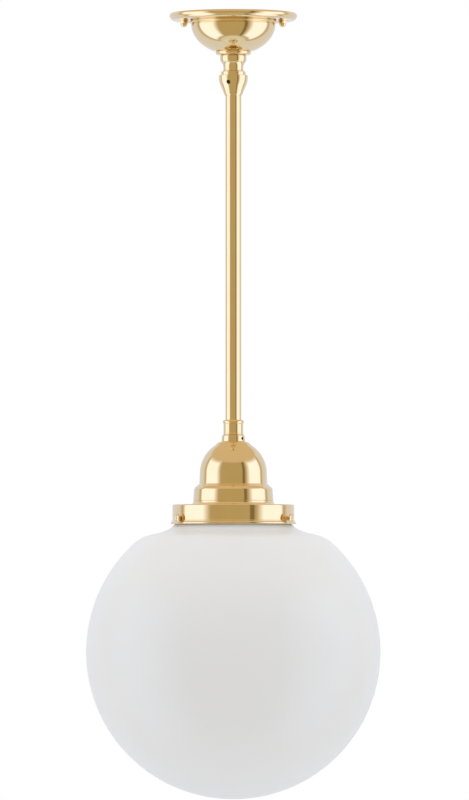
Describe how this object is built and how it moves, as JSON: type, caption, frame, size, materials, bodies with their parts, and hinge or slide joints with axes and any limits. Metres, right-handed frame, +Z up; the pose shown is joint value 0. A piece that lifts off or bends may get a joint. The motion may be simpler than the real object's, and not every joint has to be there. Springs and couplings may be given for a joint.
{
  "type": "pendant ceiling light",
  "caption": "Polished brass rod pendant with a ball swivel under a round ceiling canopy, a stepped bell, a thumbscrew gallery ring and a round opal glass globe.",
  "frame": {"origin": "centre of the mounting bar's top face, in the ceiling plane, on the rod's axis", "axes": "+Z up into the ceiling, so the light hangs along -Z; +X to the right and -Y to the front; the two cap nuts lie on X"},
  "size_m": [0.25, 0.25, 0.6682],
  "materials": {
    "polished_brass": "mirror polished, lacquered",
    "plain_brass": "turned, unpolished",
    "zinc_steel": "zinc plated",
    "dark_steel": "black oxide",
    "white_nylon": "moulded nylon",
    "black_nylon": "machined nylon",
    "opal_glass": "blown opal, satin gloss",
    "clear_glass": "clear",
    "black_glass": "black glass",
    "porcelain": "glazed porcelain",
    "nickel": "nickel plated",
    "solder": "solder",
    "filament": "phosphor coated",
    "brown_lead": "silicone insulation",
    "blue_lead": "silicone insulation",
    "green_lead": "silicone insulation with a yellow stripe"
  },
  "bodies": {
    "canopy": {"canopy_shell": "polished_brass", "mounting_bar": "zinc_steel", "bar_studs": "zinc_steel", "stud_nuts": "zinc_steel", "terminal_housing": "white_nylon", "terminal_tubes": "plain_brass", "terminal_screws": "zinc_steel", "terminal_fixing_screw": "zinc_steel", "canopy_collar": "polished_brass", "neck": "polished_brass", "neck_washer": "zinc_steel", "neck_nut": "plain_brass", "swivel_ball": "polished_brass", "live_lead_upper": "brown_lead", "neutral_lead_upper": "blue_lead", "earth_lead_upper": "green_lead"},
    "cap_nut_left": {"cap_nut_left": "polished_brass"},
    "cap_nut_right": {"cap_nut_right": "polished_brass"},
    "upper_seat": {"upper_ball_seat": "black_nylon"},
    "lower_seat": {"lower_ball_seat": "black_nylon"},
    "pendant": {"retaining_ring": "polished_brass", "swivel_cup": "polished_brass", "cup_grub_screw": "dark_steel", "rod_tube": "polished_brass", "rod_coupler": "polished_brass", "lock_collar": "polished_brass", "lock_collar_screw": "dark_steel", "bell": "polished_brass", "gallery_ring": "polished_brass", "gallery_screws": "plain_brass", "gallery_nuts": "plain_brass", "opal_globe": "opal_glass", "holder_nipple": "plain_brass", "nipple_nut": "plain_brass", "holder_cap": "plain_brass", "holder_body": "plain_brass", "holder_insert": "porcelain", "holder_shell": "plain_brass", "holder_contact": "plain_brass", "holder_terminals": "plain_brass", "holder_terminal_screws": "zinc_steel", "live_lead_lower": "brown_lead", "neutral_lead_lower": "blue_lead", "earth_lead_lower": "green_lead"},
    "thumbscrew_left": {"thumbscrew_left": "polished_brass"},
    "thumbscrew_right": {"thumbscrew_right": "polished_brass"},
    "thumbscrew_back": {"thumbscrew_back": "polished_brass"},
    "bulb": {"bulb_cap": "nickel", "bulb_insulator": "black_glass", "bulb_tip": "solder", "bulb_glass": "clear_glass", "bulb_stem": "clear_glass", "bulb_filaments": "filament"}
  },
  "joints": [
    {"name": "swivel_tilt_x", "type": "hinge", "parent": "canopy", "child": "upper_seat", "pos_m": [0, 0, -0.0582], "axis": [1, 0, 0], "range_deg": [-5, 5]},
    {"name": "swivel_tilt_y", "type": "hinge", "parent": "upper_seat", "child": "lower_seat", "pos_m": [0, 0, -0.0582], "axis": [0, 1, 0], "range_deg": [-5, 5]},
    {"name": "swivel_turn", "type": "hinge", "parent": "lower_seat", "child": "pendant", "pos_m": [0, 0, -0.0582], "axis": [0, 0, 1], "range_deg": [-180, 180]},
    {"name": "cap_nut_left_off", "type": "slide", "parent": "canopy", "child": "cap_nut_left", "axis": [0, 0, -1], "range_m": [0, 0.006]},
    {"name": "cap_nut_right_off", "type": "slide", "parent": "canopy", "child": "cap_nut_right", "axis": [0, 0, -1], "range_m": [0, 0.006]},
    {"name": "bulb_unscrew", "type": "slide", "parent": "pendant", "child": "bulb", "axis": [0, 0, -1], "range_m": [0, 0.02]},
    {"name": "thumbscrew_left_out", "type": "slide", "parent": "pendant", "child": "thumbscrew_left", "axis": [-0.866, -0.5, 0], "range_m": [0, 0.0043]},
    {"name": "thumbscrew_right_out", "type": "slide", "parent": "pendant", "child": "thumbscrew_right", "axis": [0.866, -0.5, 0], "range_m": [-0.0018, 0.0025]},
    {"name": "thumbscrew_back_out", "type": "slide", "parent": "pendant", "child": "thumbscrew_back", "axis": [0, 1, 0], "range_m": [-0.0009, 0.0034]}
  ]
}
